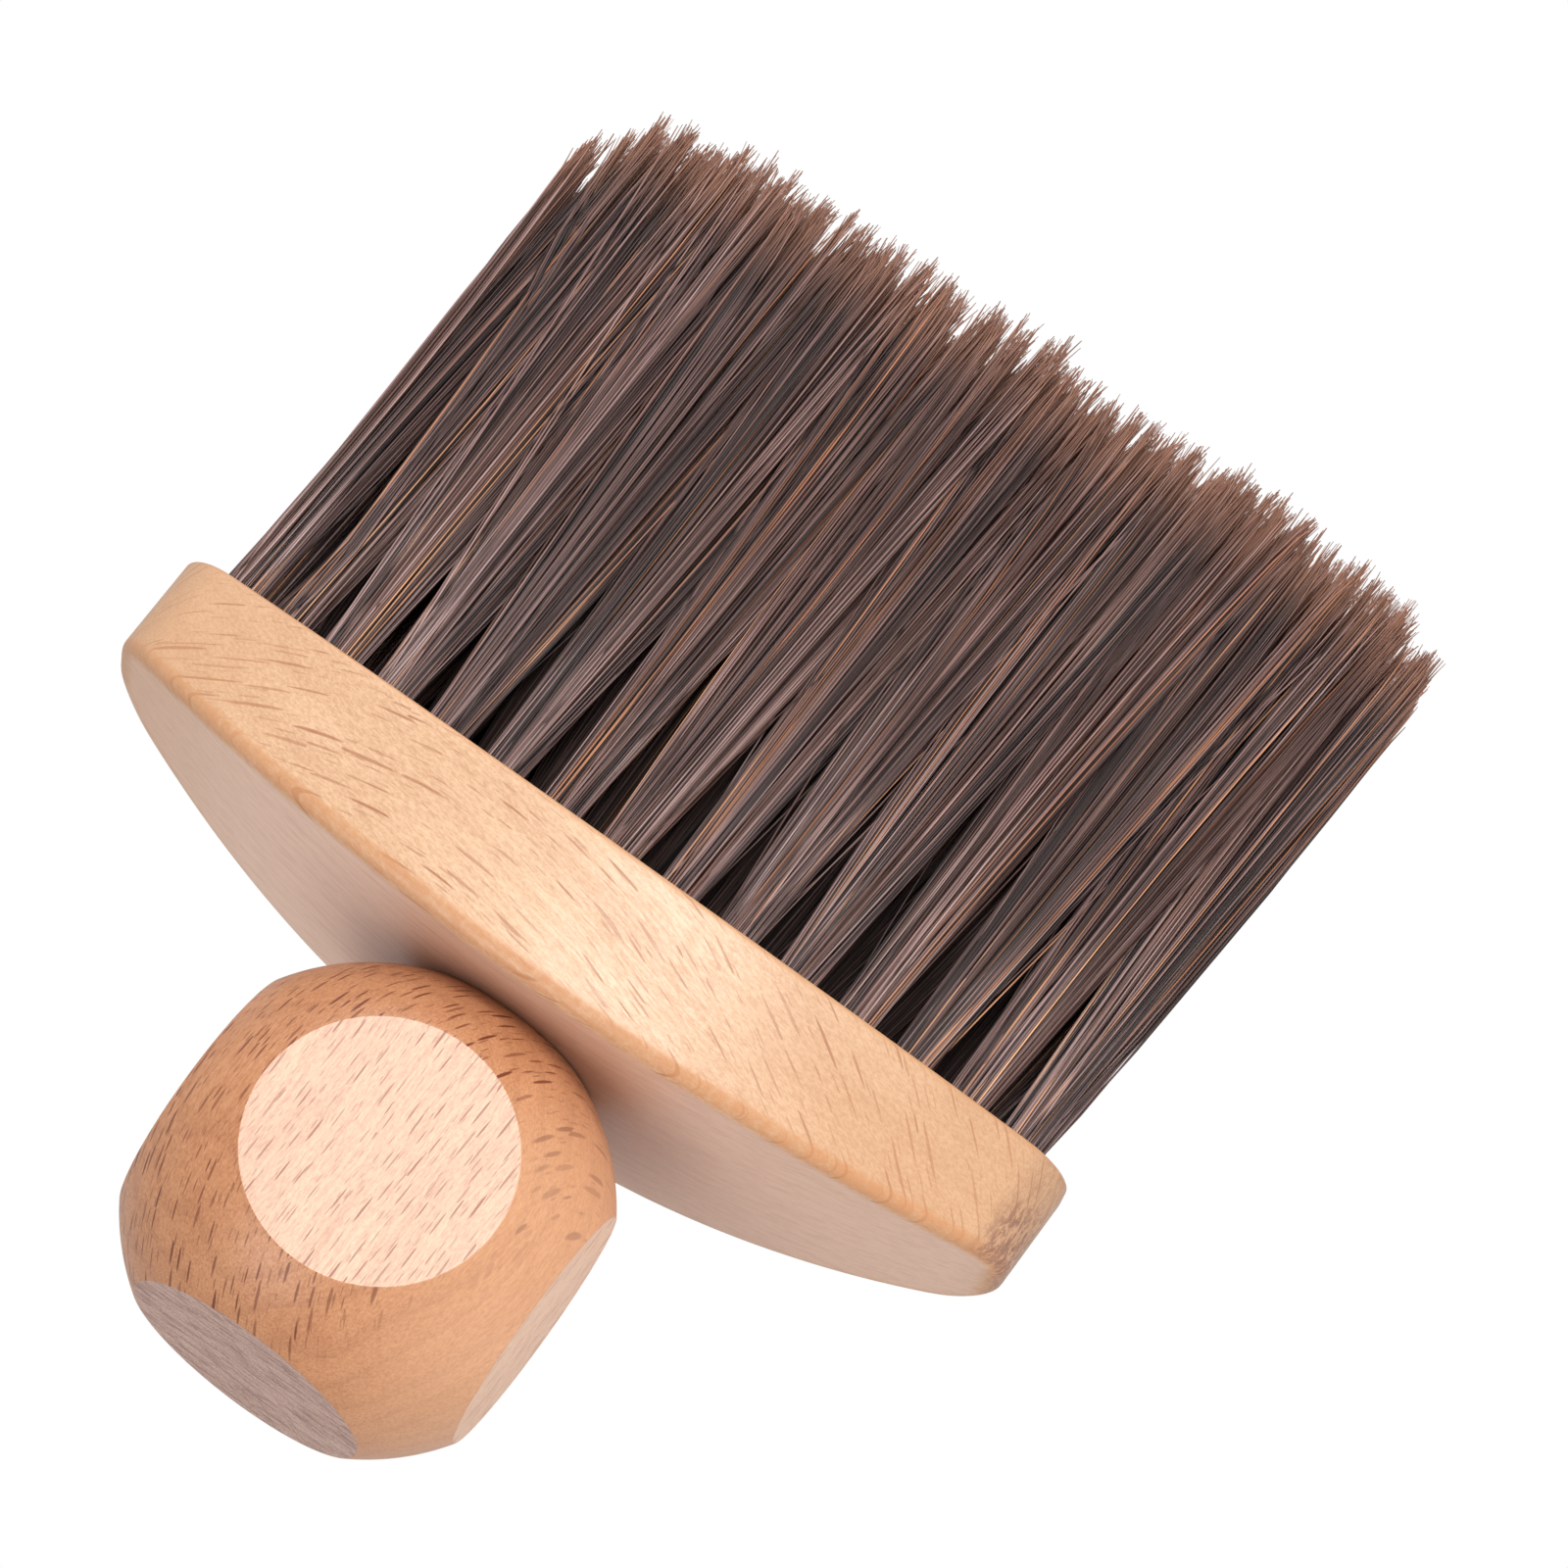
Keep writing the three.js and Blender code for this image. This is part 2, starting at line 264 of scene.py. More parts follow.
class Shader:
    """Builds one material's node tree. Its methods take numbers, colours or output sockets."""

    def __init__(self, name):
        self.material = bpy.data.materials.new(name)
        self.material.use_nodes = True
        self.nodes = self.material.node_tree.nodes
        self.links = self.material.node_tree.links
        self.nodes.clear()

    def node(self, kind, inputs, **settings):
        made = self.nodes.new("ShaderNode" + kind)
        for key, value in settings.items():
            setattr(made, key, value)
        for key, value in inputs.items():
            if isinstance(value, bpy.types.NodeSocket):
                self.links.new(value, made.inputs[key])
            else:
                made.inputs[key].default_value = value
        return made

    def math(self, operation, *values):
        return self.node("Math", dict(enumerate(values)), operation=operation).outputs[0]

    def product(self, *values):
        result = values[0]
        for value in values[1:]:
            result = self.math("MULTIPLY", result, value)
        return result

    def vector(self, operation, a, b):
        return self.node("VectorMath", {0: a, 1: b}, operation=operation).outputs[0]

    def scale(self, a, factors):
        """A vector with each of its parts multiplied: by one number, or by three."""
        factors = factors if hasattr(factors, "__len__") else (factors,) * 3
        return self.vector("MULTIPLY", a, tuple(factors))

    def dot(self, a, b):
        return self.node("VectorMath", {0: a, 1: b}, operation="DOT_PRODUCT").outputs["Value"]

    def length(self, a):
        return self.node("VectorMath", {0: a}, operation="LENGTH").outputs["Value"]

    def ramp(self, value, start, end, low=0.0, high=1.0):
        """A smooth step from low to high while value goes from start to end."""
        inputs = {0: value, 1: start, 2: end, 3: low, 4: high}
        return self.node("MapRange", inputs, interpolation_type="SMOOTHSTEP").outputs[0]

    def mix(self, share, a, b, blend="MIX"):
        inputs = {0: share, 6: a, 7: b}
        node = self.node("Mix", inputs, data_type="RGBA", blend_type=blend, clamp_factor=True)
        return node.outputs[2]

    def noise(self, vector, detail=2.0, roughness=0.5, distortion=0.0):
        inputs = {"Vector": vector, "Scale": 1.0, "Detail": detail, "Roughness": roughness}
        inputs["Distortion"] = distortion
        return self.node("TexNoise", inputs).outputs["Fac"]

    def attribute(self, name):
        return self.node("Attribute", {}, attribute_name=name).outputs["Fac"]

    def bump(self, height, strength, distance, normal=None):
        inputs = {"Strength": strength, "Distance": distance, "Height": height}
        if normal is not None:
            inputs["Normal"] = normal
        return self.node("Bump", inputs).outputs[0]

    def surface(self, **inputs):
        """The Principled shader and the output. Names use _ for the spaces in the sockets' names."""
        named = {key.replace("_", " "): value for key, value in inputs.items()}
        shader = self.node("BsdfPrincipled", named)
        output = self.nodes.new("ShaderNodeOutputMaterial")
        self.links.new(shader.outputs[0], output.inputs[0])
        return self.material


def rgb(red, green, blue):
    """A colour given as sRGB from 0 to 255, as the linear RGBA that shaders take."""
    linear = []
    for channel in (red, green, blue):
        share = channel / 255
        linear.append(share / 12.92 if share <= 0.04045 else ((share + 0.055) / 1.055) ** 2.4)
    return (*linear, 1.0)


# ------------------------------------------------------------------ beech

# The ray cells of beech are thin sheets: tall along the grain, deep towards the tree's middle and
# very thin across. Wherever a surface cuts one it shows as a small dark fleck. The wood is shared
# into blocks that hold one sheet each.
KNOB_RAYS = (  # half sizes of a sheet along the grain, along the ray and across; and its block
    ((1.5, 3.0, 0.19), (3.2, 4.4, 1.3)),
    ((0.75, 1.5, 0.11), (1.9, 2.6, 0.9)),
)
FLAT_RAYS = (  # the same sheets, which look thinner where the wood is freshly cut
    ((1.8, 5.0, 0.115), (3.8, 6.4, 1.35)),
    ((0.9, 2.2, 0.08), (1.9, 3.2, 0.85)),
)
HEAD_RAYS = (
    ((3.3, 5.6, 0.12), (6.0, 6.6, 1.5)),
    ((1.3, 2.6, 0.07), (2.9, 3.6, 1.05)),
)
LONG_RAYS = ((6.5, 6.0, 0.09), (9.0, 6.6, 1.7))
RING_SPACING_MM = 3.4  # between the tree's growth rings
WANDER_MM = 0.6  # how far the grain strays from a straight line
WANDER_SIZE_MM = 18.0


class Beech(Shader):
    """Beech with its grain, ray flecks and growth rings in the given directions."""

    def __init__(self, name, grain, ray, rays):
        super().__init__(name)
        self.rays = rays
        grain = Vector(grain).normalized()
        across = grain.cross(Vector(ray)).normalized()
        ray = across.cross(grain).normalized()
        self.place = self.scale(self.node("TexCoord", {}).outputs["Object"], 1 / MM)
        drift = self.vector("SUBTRACT", self.drift(WANDER_SIZE_MM), (0.5, 0.5, 0.5))
        wood = self.vector("ADD", self.place, self.scale(drift, 2 * WANDER_MM))
        parts = {i: self.dot(wood, tuple(axis)) for i, axis in enumerate((grain, ray, across))}
        self.wood = self.node("CombineXYZ", parts).outputs[0]

    def drift(self, size_mm):
        """Three soft noises as one vector. Each goes from 0 to 1."""
        inputs = {"Vector": self.scale(self.place, 1 / size_mm), "Scale": 1.0, "Detail": 1.0}
        return self.node("TexNoise", inputs).outputs["Color"]

    def fibre(self, along_mm, across_mm, detail=3.0, roughness=0.6):
        """Noise drawn out along the grain."""
        scale = (1 / along_mm, 1 / across_mm, 1 / across_mm)
        return self.noise(self.scale(self.wood, scale), detail, roughness)

    def sheets(self, half_sizes, cell, share, offset=0.0):
        """0 to 1, where the surface cuts one of the ray sheets. share is how many blocks have one.

        Each block's colour chooses its sheet's size, whether it has one, and how dark it is.
        """
        start = self.vector("ADD", self.wood, (offset,) * 3)
        cells = self.scale(start, [1 / size for size in cell])
        voronoi = self.node("TexVoronoi", {"Vector": cells, "Scale": 1.0, "Randomness": 1.0})
        away = self.vector("SUBTRACT", cells, voronoi.outputs["Position"])
        stretch = [size / half for size, half in zip(cell, half_sizes)]
        reach = self.length(self.scale(away, stretch))
        chance = self.node("SeparateColor", {0: voronoi.outputs["Color"]}).outputs
        size = self.math("MULTIPLY_ADD", chance[0], 0.6, 0.6)
        inside = self.ramp(self.math("DIVIDE", reach, size), 1.0, 0.62)
        kept = self.math("LESS_THAN", chance[1], share)
        depth = self.math("MULTIPLY_ADD", chance[2], 0.45, 0.55)
        return self.product(inside, kept, depth)

    def flecks(self):
        large = self.sheets(*self.rays[0], share=0.92)
        small = self.sheets(*self.rays[1], share=0.75, offset=31.7)
        return self.math("MAXIMUM", large, self.math("MULTIPLY", small, 0.6))

    def rings(self):
        """Thin darker lines where one year's wood ends."""
        radial = self.node("SeparateXYZ", {0: self.wood}).outputs[1]
        bent = self.math("MULTIPLY_ADD", self.fibre(50, 12, 1), 9.0, radial)
        share = self.math("FRACT", self.math("DIVIDE", bent, RING_SPACING_MM))
        return self.math("MULTIPLY", self.ramp(share, 0.55, 0.97), self.ramp(share, 1.0, 0.97))


KNOB_RAY_TURN = math.radians(65)
HEAD_GRAIN_TILT = math.radians(12)
HEAD_RAY_TILT = math.radians(55)
KNOB_GRAIN = (0, 0, 1)
KNOB_RAY = (math.cos(KNOB_RAY_TURN), math.sin(KNOB_RAY_TURN), 0)
HEAD_GRAIN = (math.cos(HEAD_GRAIN_TILT), 0, -math.sin(HEAD_GRAIN_TILT))
HEAD_RAY = (0, math.cos(HEAD_RAY_TILT), -math.sin(HEAD_RAY_TILT))


def beech_finish(
    wood, light, deep, fleck, roughness, fleck_depth=0.8, ring_depth=0.06, streaks=0.25, clear=None
):
    """Shared recipe for wood surfaces: its colour, roughness and normal.

    light and deep are the range of the plain colour, and fleck is the colour of flecks and rings.
    The depths and streaks are shares from 0 to 1. clear is 0 where there are to be no flecks.
    """
    broad = wood.fibre(60, 6)
    fine = wood.fibre(9, 0.3, detail=4)
    speckle = wood.fibre(0.8, 0.22, detail=3, roughness=0.8)
    tone = wood.ramp(broad, 0.3, 0.7, 0.0, streaks)
    tone = wood.math("ADD", tone, wood.ramp(fine, 0.34, 0.68, 0.0, 0.4))
    tone = wood.math("ADD", tone, wood.ramp(speckle, 0.4, 0.64, 0.0, 0.6))
    colour = wood.mix(tone, light, deep)
    colour = wood.mix(wood.math("MULTIPLY", wood.rings(), ring_depth), colour, fleck)
    flecked = wood.flecks()
    if clear is not None:
        flecked = wood.product(flecked, clear)
    colour = wood.mix(wood.math("MULTIPLY", flecked, fleck_depth), colour, fleck)
    rough = wood.ramp(fine, 0.2, 0.8, roughness - 0.06, roughness + 0.08)
    height = wood.math("ADD", wood.product(fine, 0.5), wood.product(speckle, 0.3))
    normal = wood.bump(wood.math("SUBTRACT", height, flecked), 0.3, 0.05 * MM)
    return colour, rough, normal


def knob_ball_material():
    wood = Beech("beech_ball", KNOB_GRAIN, KNOB_RAY, KNOB_RAYS)
    # There are hardly any flecks low down towards +X, and fainter ones on the rest of that side
    bare = wood.ramp(wood.dot(wood.place, (0.86, -0.1, -0.5)), 4.0, 8.5, 1.0, 0.08)
    faint = wood.ramp(wood.dot(wood.place, (0.93, -0.36, 0)), 13, 21, 1.0, 0.75)
    colour, rough, normal = beech_finish(
        wood,
        rgb(208, 150, 109),
        rgb(179, 118, 79),
        rgb(112, 52, 30),
        0.34,
        fleck_depth=1.0,
        ring_depth=0.12,
        clear=wood.product(bare, faint),
    )
    # Painted light: the same side is painted a little paler, for the light that falls on it from +X
    side = wood.dot(wood.place, (0.96, -0.28, 0))
    colour = wood.mix(wood.ramp(side, 10, 20, 0, 0.3), colour, rgb(222, 176, 140))
    return wood.surface(Base_Color=colour, Roughness=rough, Normal=normal)


def knob_flat_material():
    wood = Beech("beech_flat", KNOB_GRAIN, KNOB_RAY, FLAT_RAYS)
    colour, rough, normal = beech_finish(
        wood, rgb(229, 195, 166), rgb(207, 163, 140), rgb(150, 94, 80), 0.5, fleck_depth=0.85, streaks=0.1
    )
    return wood.surface(Base_Color=colour, Roughness=rough, Normal=normal)


def knob_end_material():
    """End grain, sawn and hardly sanded: torn streaks and open pores."""
    wood = Beech("beech_end_grain", KNOB_GRAIN, KNOB_RAY, FLAT_RAYS)
    colour, rough, normal = beech_finish(
        wood, rgb(234, 198, 183), rgb(208, 169, 154), rgb(144, 102, 90), 0.55, fleck_depth=0.4
    )
    pores = wood.noise(wood.scale(wood.place, 3.2), 3, 0.7)
    torn = wood.noise(wood.scale(wood.place, (0.2, 1.25, 1.0)), 5, 0.75, 0.8)
    colour = wood.mix(wood.ramp(pores, 0.5, 0.72, 0, 0.45), colour, rgb(152, 110, 98))
    colour = wood.mix(wood.ramp(torn, 0.48, 0.6, 0, 0.66), colour, rgb(146, 106, 96))
    rise = wood.math("SUBTRACT", wood.product(pores, -0.5), torn)
    normal = wood.bump(rise, 1.0, 0.5 * MM, normal)
    return wood.surface(Base_Color=colour, Roughness=rough, Normal=normal)


def head_material():
    wood = Beech("beech_head", HEAD_GRAIN, HEAD_RAY, HEAD_RAYS)
    colour, rough, normal = beech_finish(
        wood, rgb(226, 188, 153), rgb(199, 154, 117), rgb(150, 84, 48), 0.36, fleck_depth=0.72
    )
    along = wood.node("SeparateXYZ", {0: wood.place}).outputs[0]
    # Painted shade: the wood is painted deeper towards +X, where less light falls on the head
    colour = wood.mix(wood.ramp(along, 8, 50, 0, 0.4), colour, rgb(198, 146, 106))
    # Long flecks near the other end
    drawn = wood.sheets(*LONG_RAYS, share=0.9, offset=11.3)
    drawn = wood.product(drawn, wood.ramp(along, -34, -44))
    colour = wood.mix(wood.math("MULTIPLY", drawn, 0.8), colour, rgb(170, 104, 62))
    # The knob side is planed. wrap_mm is 0 on its edge, below 0 on it and above 0 on the head's sides.
    wrap = wood.attribute("wrap_mm")
    below = wood.ramp(wrap, -0.9, -2.2)
    planed = wood.noise(wood.scale(wood.place, (0.07, 1.5, 1.5)), 4, 0.65)
    face = wood.mix(wood.ramp(planed, 0.4, 0.68, 0, 0.4), rgb(240, 204, 185), rgb(198, 158, 138))
    colour = wood.mix(below, colour, wood.mix(0.72, colour, face))
    # Painted shade and bounce light round the joint: the knob side is painted browner there, for the
    # knob's shadow and the brown light it throws back, with some of the wood's own deeper tone
    from_axis = wood.length(wood.scale(wood.place, (1, 1, 0)))
    painted_joint_shade_and_bounce = wood.product(below, wood.ramp(from_axis, 30, 13, 0, 0.34))
    colour = wood.mix(painted_joint_shade_and_bounce, colour, rgb(150, 98, 68))
    # Painted shade: the knob side is painted browner towards +X, where it is lit less
    colour = wood.mix(wood.product(below, wood.ramp(along, 0, 26, 0, 0.2)), colour, rgb(164, 118, 94))
    # An orange band along the knob side's edge, and a thin rim along the bristle side's
    worn = wood.noise(wood.scale(wood.place, (0.9, 0.9, 0.45)), 3, 0.65)
    band = wood.product(wood.ramp(wrap, 2.3, 1.4), wood.ramp(wrap, -1.2, -0.5))
    band = wood.product(band, wood.ramp(worn, 0.3, 0.6, 0.5, 1))
    colour = wood.mix(wood.math("MULTIPLY", band, 0.7), colour, rgb(200, 138, 92))
    rim = wood.ramp(wood.attribute("rim_mm"), 0.9, 0.2)
    colour = wood.mix(wood.math("MULTIPLY", rim, 0.6), colour, rgb(206, 148, 100))
    # The blunt ends: painted shade makes one a little deeper, and the other is rough brown end grain
    colour = wood.mix(wood.ramp(along, -30, -54, 0, 0.5), colour, rgb(194, 146, 108))
    torn = wood.noise(wood.scale(wood.place, (1.6, 1.6, 0.8)), 4, 0.75)
    rough_end = wood.product(wood.ramp(along, 50.5, 53.5), wood.ramp(torn, 0.42, 0.58, 0.15, 0.9))
    rough_end = wood.product(rough_end, wood.ramp(wrap, 10, 5, 0.35, 1))
    rough_end = wood.product(rough_end, wood.ramp(wrap, -1.2, 0.4, 0.1, 1))
    colour = wood.mix(rough_end, colour, rgb(140, 98, 80))
    normal = wood.bump(wood.product(torn, rough_end), 0.35, 0.08 * MM, normal)
    # The bristle side is sanded but not polished
    facing = wood.node("NewGeometry", {}).outputs["Normal"]
    upward = wood.node("SeparateXYZ", {0: facing}).outputs[2]
    rough = wood.math("ADD", rough, wood.ramp(upward, 0.8, 0.95, 0, 0.3))
    return wood.surface(Base_Color=colour, Roughness=rough, Normal=normal)


def dowel_material():
    wood = Beech("beech_dowel", KNOB_GRAIN, KNOB_RAY, KNOB_RAYS)
    colour, rough, normal = beech_finish(
        wood, rgb(226, 196, 160), rgb(206, 170, 130), rgb(150, 100, 70), 0.6
    )
    return wood.surface(Base_Color=colour, Roughness=rough, Normal=normal)


# ------------------------------------------------------------------ filament and wire


def filament_material():
    """Dark brown filament. Each one has its own shade, the palest of them a painted lilac-grey sheen, and
    the tips are worn paler.

    strand is a filament's shade, lock its lock's, along its share of the way up, and inner is 1 in
    the rows that stand inside the brush.
    """
    look = Shader("brown_filament")
    strand = look.attribute("strand")
    along = look.attribute("along")
    shades = look.node("ValToRGB", {0: strand})
    stops = shades.color_ramp
    stops.interpolation = "LINEAR"
    # Each filament's own shade, from dark to mid brown. The pale lilac-grey ones near BROWN_UP_TO are
    # painted sheen, standing in for highlights on single filaments. From COPPER_FROM up they are copper.
    table = (
        (0.0, rgb(28, 19, 18)),
        (0.30, rgb(74, 53, 49)),
        (0.60, rgb(117, 86, 80)),
        (0.86, rgb(156, 122, 117)),
        (BROWN_UP_TO, rgb(180, 148, 142)),
        (0.945, rgb(188, 120, 82)),
        (1.0, rgb(224, 162, 122)),
    )
    while len(stops.elements) < len(table):
        stops.elements.new(0.5)
    for element, (position, colour) in zip(stops.elements, table):
        element.position = position
        element.color = colour
    ruddy = look.ramp(look.attribute("lock"), 0.5, 0.95, 0, 0.42)
    redder = look.mix(0.55, shades.outputs[0], rgb(126, 72, 50))
    colour = look.mix(ruddy, shades.outputs[0], redder)
    place = look.node("TexCoord", {}).outputs["Object"]
    mottled = look.noise(look.scale(place, (700, 700, 60)), 2)
    colour = look.mix(look.ramp(mottled, 0.35, 0.7, 0, 0.4), colour, rgb(46, 32, 31))
    colour = look.mix(look.ramp(along, 0.83, 1.0, 0, 0.62), colour, rgb(170, 120, 96))
    # Painted light: near the wood the outer rows are painted paler, as if well lit
    inner = look.attribute("inner")
    painted_root_light = look.product(look.ramp(along, 0.5, 0.1), look.math("SUBTRACT", 1.0, inner))
    colour = look.mix(painted_root_light, colour, (1.36, 1.54, 1.6, 1), "MULTIPLY")
    # Deep inside the brush the filaments stand so close that hardly any light reaches their roots
    buried = look.product(inner, look.ramp(along, 0.55, 0.15))
    colour = look.mix(look.math("MULTIPLY", buried, 0.74), colour, rgb(26, 19, 18))
    rough = look.ramp(mottled, 0.3, 0.7, 0.34, 0.48)
    rough = look.math("MULTIPLY_ADD", buried, 0.5, rough)
    return look.surface(Base_Color=colour, Roughness=rough, Specular_IOR_Level=0.42)


def wire_material():
    look = Shader("flat_steel_wire")
    place = look.node("TexCoord", {}).outputs["Object"]
    drawn = look.noise(look.scale(place, (600, 4000, 4000)), 2)
    colour = look.mix(drawn, rgb(150, 150, 146), rgb(196, 196, 190))
    return look.surface(Base_Color=colour, Metallic=1.0, Roughness=look.ramp(drawn, 0.2, 0.8, 0.3, 0.5))


# ------------------------------------------------------------------ knob


def knob_patches():
    """The six sides of the blank, one by one.

    Each is its outward axis, two axes across it, its flat's distance from the ball's centre, and
    the number of its flat's material.
    """
    side = BLANK_HALF_WIDTH
    top = HEAD_BOTTOM_Z - BALL_CENTRE_Z
    return [
        ((1, 0, 0), (0, 1, 0), (0, 0, 1), side, 1),
        ((-1, 0, 0), (0, 0, 1), (0, 1, 0), side, 1),
        ((0, 1, 0), (0, 0, 1), (1, 0, 0), side, 1),
        ((0, -1, 0), (1, 0, 0), (0, 0, 1), side, 1),
        ((0, 0, -1), (0, 1, 0), (1, 0, 0), side, 2),
        ((0, 0, 1), (1, 0, 0), (0, 1, 0), top, 2),
    ]


def knob_profile(distance, hole_radius, hole_bottom):
    """Radius and height of the rings from the ball's surface over the rim and across a flat."""
    least_ring = 0.4 * MM
    mouth_inset, mouth_depth = 0.02 * MM, 0.1 * MM
    rim_height = distance - FLAT_RIM_RADIUS
    rim_centre = math.sqrt((BALL_RADIUS - FLAT_RIM_RADIUS) ** 2 - rim_height**2)
    start = math.atan2(rim_height, rim_centre)
    rings = []
    for turn in np.linspace(start, math.pi / 2, FLAT_RIM_STEPS + 1):
        out = rim_centre + FLAT_RIM_RADIUS * math.cos(turn)
        rings.append((out, rim_height + FLAT_RIM_RADIUS * math.sin(turn)))
    edge = rings[-1][0]
    inner = max(hole_radius, least_ring)
    for share in (0.985, 0.93, 0.8, 0.65, 0.5, 0.35):
        if edge * share > inner + 0.3 * MM:
            rings.append((edge * share, distance))
    rings.append((inner, distance))
    if hole_radius:
        rings.append((inner - mouth_inset, distance - mouth_depth))
        for share in np.linspace(0.1, 1.0, 8):
            rings.append((inner - mouth_inset, distance + (hole_bottom - distance) * share))
        rings.append((inner * 0.5, hole_bottom))
        rings.append((least_ring, hole_bottom))
    return rings


def make_knob(materials):
    """The ball as six patches, each from the edge it shares with its neighbours in to its flat.

    materials are the ball's, the side flats' and the end grain's.
    """
    side_steps = 44  # along each edge between two patches
    ball_rings = 14
    edge = np.tan(np.linspace(-math.pi / 4, math.pi / 4, side_steps + 1)[:-1])
    one = np.ones_like(edge)
    sides = [np.c_[edge, -one], np.c_[one, edge], np.c_[-edge, one], np.c_[-one, -edge]]
    outline = np.concatenate(sides)
    around = len(outline)
    turn = np.arctan2(outline[:, 1], outline[:, 0])
    points, faces, kinds = [], [], []
    hole_bottom = DOWEL_LOW.z - DOWEL_GAP - BALL_CENTRE_Z
    for axis, first, second, distance, kind in knob_patches():
        axis, first, second = (np.array(v, float) for v in (axis, first, second))
        outer = axis + outline[:, :1] * first + outline[:, 1:] * second
        outer /= np.linalg.norm(outer, axis=1)[:, None]
        spokes = np.cos(turn)[:, None] * first + np.sin(turn)[:, None] * second
        is_top = axis[2] > 0
        profile = knob_profile(distance, DOWEL_HOLE_RADIUS if is_top else 0.0, hole_bottom)
        rim = spokes * profile[0][0] + axis * profile[0][1]
        rim /= np.linalg.norm(rim, axis=1)[:, None]
        rings = []
        for share in np.linspace(0, 1, ball_rings + 1)[:-1]:
            way = outer * (1 - share) + rim * share
            rings.append(BALL_RADIUS * way / np.linalg.norm(way, axis=1)[:, None])
        rings += [spokes * radius + axis * height for radius, height in profile]
        base = len(points)
        for ring in rings:
            points.extend(ring + (0, 0, BALL_CENTRE_Z))
        rim_rings = ball_rings + FLAT_RIM_STEPS
        for i in range(len(rings) - 1):
            low, high = base + i * around, base + (i + 1) * around
            for j in range(around):
                k = (j + 1) % around
                faces.append((low + j, low + k, high + k, high + j))
                kinds.append(0 if i < rim_rings else kind)
        middle = len(points)
        points.append(np.mean(rings[-1], axis=0) + (0, 0, BALL_CENTRE_Z))
        last = base + (len(rings) - 1) * around
        for j in range(around):
            faces.append((last + j, last + (j + 1) % around, middle))
            kinds.append(kind)
    mesh = bpy.data.meshes.new("beech_ball_knob")
    mesh.from_pydata([tuple(p) for p in points], [], faces)
    mesh.polygons.foreach_set("material_index", kinds)
    work = bmesh.new()
    work.from_mesh(mesh)
    bmesh.ops.remove_doubles(work, verts=work.verts, dist=1e-7)
    bmesh.ops.recalc_face_normals(work, faces=work.faces)
    work.to_mesh(mesh)
    work.free()
    mesh.shade_smooth()
    mesh.set_sharp_from_angle(angle=math.radians(50))
    return link_mesh("beech_ball_knob", mesh, materials, ["ball_knob"])


# ------------------------------------------------------------------ head


def head_stations():
    """Places along the head that have a ring of points, closer together round the end corners."""
    straight = HEAD_HALF_LENGTH - END_CORNER_RADIUS
    middle = np.linspace(-straight, straight, 201)
    corner = straight + END_CORNER_RADIUS * np.sin(np.linspace(0, math.pi / 2, 11)[1:])
    return np.concatenate([-corner[::-1], middle, corner])


def head_layers():
    """Through the thickness: the share that goes with each surface, the height off it, the inset."""
    layers = []
    for turn in np.linspace(0, math.pi / 2, 9):
        lift = KNOB_EDGE_RADIUS * (1 - math.cos(turn))
        layers.append((0.0, lift, KNOB_EDGE_RADIUS * (1 - math.sin(turn))))
    for share in np.linspace(0, 1, 14)[1:-1]:
        layers.append((share, KNOB_EDGE_RADIUS * (1 - share) - BRISTLE_EDGE_RADIUS * share, 0.0))
    for turn in np.linspace(0, math.pi / 2, 6):
        drop = BRISTLE_EDGE_RADIUS * (1 - math.sin(turn))
        layers.append((1.0, -drop, BRISTLE_EDGE_RADIUS * (1 - math.cos(turn))))
    return np.array(layers)


def drill(piece, holes):
    """Cuts upright round holes: each is x, y, low z, high z and radius."""
    cutter = bmesh.new()
    for x, y, low, high, radius in holes:
        spot = Matrix.Translation((x, y, (low + high) / 2))
        size = {"radius1": radius, "radius2": radius, "depth": high - low}
        bmesh.ops.create_cone(cutter, cap_ends=True, segments=32, matrix=spot, **size)
    mesh = bpy.data.meshes.new("cutter")
    cutter.to_mesh(mesh)
    cutter.free()
    tool = bpy.data.objects.new("cutter", mesh)
    bpy.context.scene.collection.objects.link(tool)
    cut = piece.modifiers.new("holes", "BOOLEAN")
    cut.operation = "DIFFERENCE"
    cut.solver = "EXACT"
    cut.object = tool
    graph = bpy.context.evaluated_depsgraph_get()
    drilled = bpy.data.meshes.new_from_object(piece.evaluated_get(graph))
    piece.modifiers.clear()
    old, piece.data = piece.data, drilled
    bpy.data.objects.remove(tool)
    bpy.data.meshes.remove(mesh)
    bpy.data.meshes.remove(old)


